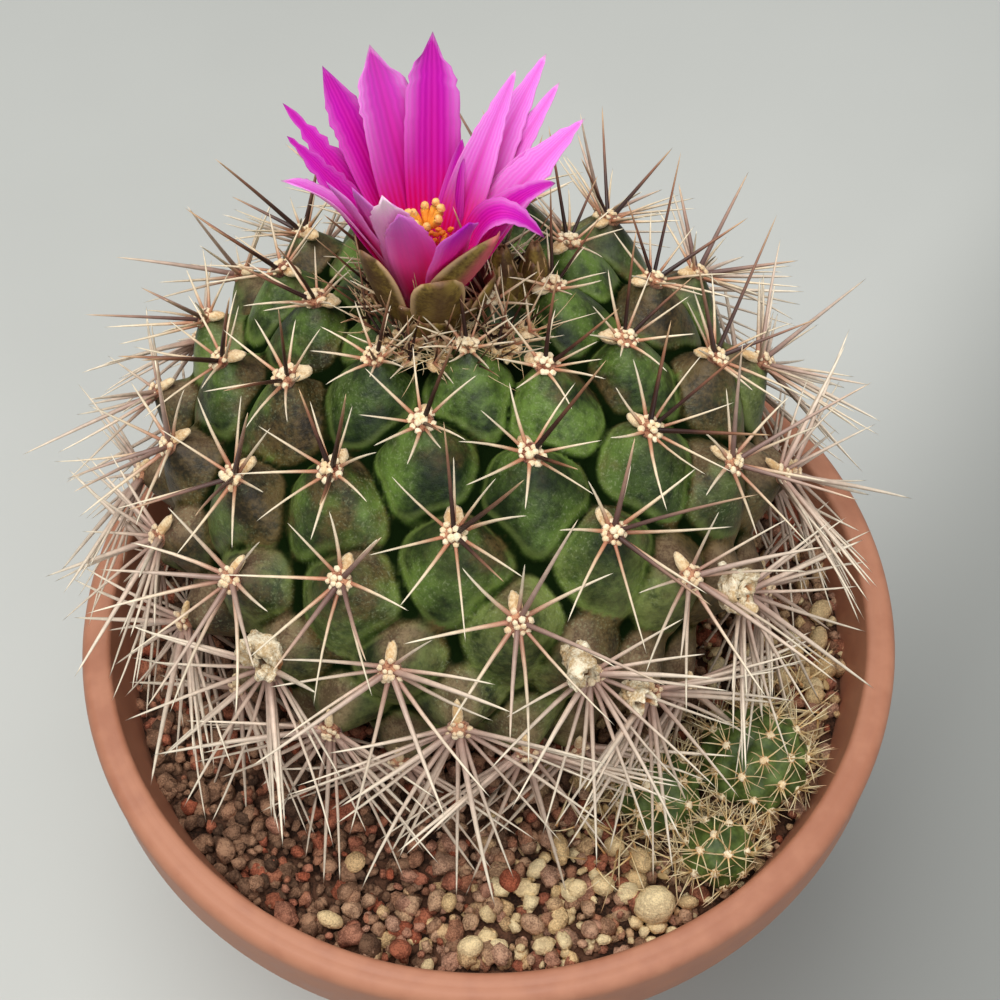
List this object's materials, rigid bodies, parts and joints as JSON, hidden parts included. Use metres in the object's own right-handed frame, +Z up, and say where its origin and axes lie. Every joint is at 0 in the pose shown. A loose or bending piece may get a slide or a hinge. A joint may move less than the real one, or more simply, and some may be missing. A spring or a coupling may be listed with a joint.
{
  "type": "potted thelocactus",
  "caption": "Flowering ball cactus with plump spiral tubercles and long spines, a magenta flower, buds and offsets, in gritty soil in a round terracotta-coloured plastic pot.",
  "frame": {"origin": "centre of the pot's flat base, on the surface it stands on", "axes": "+Z up; -Y towards the front of the plant, where the offsets grow at +X; +X to the right seen from the front"},
  "size_m": [0.1781, 0.1865, 0.233],
  "materials": {
    "pot_plastic": "matt terracotta-pink moulded plastic",
    "grit": "loose red-brown lava grit with tan pebbles",
    "cactus_flesh": "waxy green skin with brown corky patches and pale spines",
    "flower_scales": "olive-brown scales with pale margins",
    "petals": "silky magenta with a deeper middle stripe",
    "stamens": "orange-yellow threads and stigma lobes",
    "offset_flesh": "young green skin with fine straw spines"
  },
  "bodies": {
    "root": {"pot": "pot_plastic", "soil": "grit", "cactus_body": "cactus_flesh", "flower_tube": "flower_scales", "flower_petals": "petals", "flower_stamens": "stamens", "bud_1": "flower_scales", "bud_2": "flower_scales", "offset_1": "offset_flesh", "offset_2": "offset_flesh", "offset_3": "offset_flesh"}
  },
  "joints": []
}
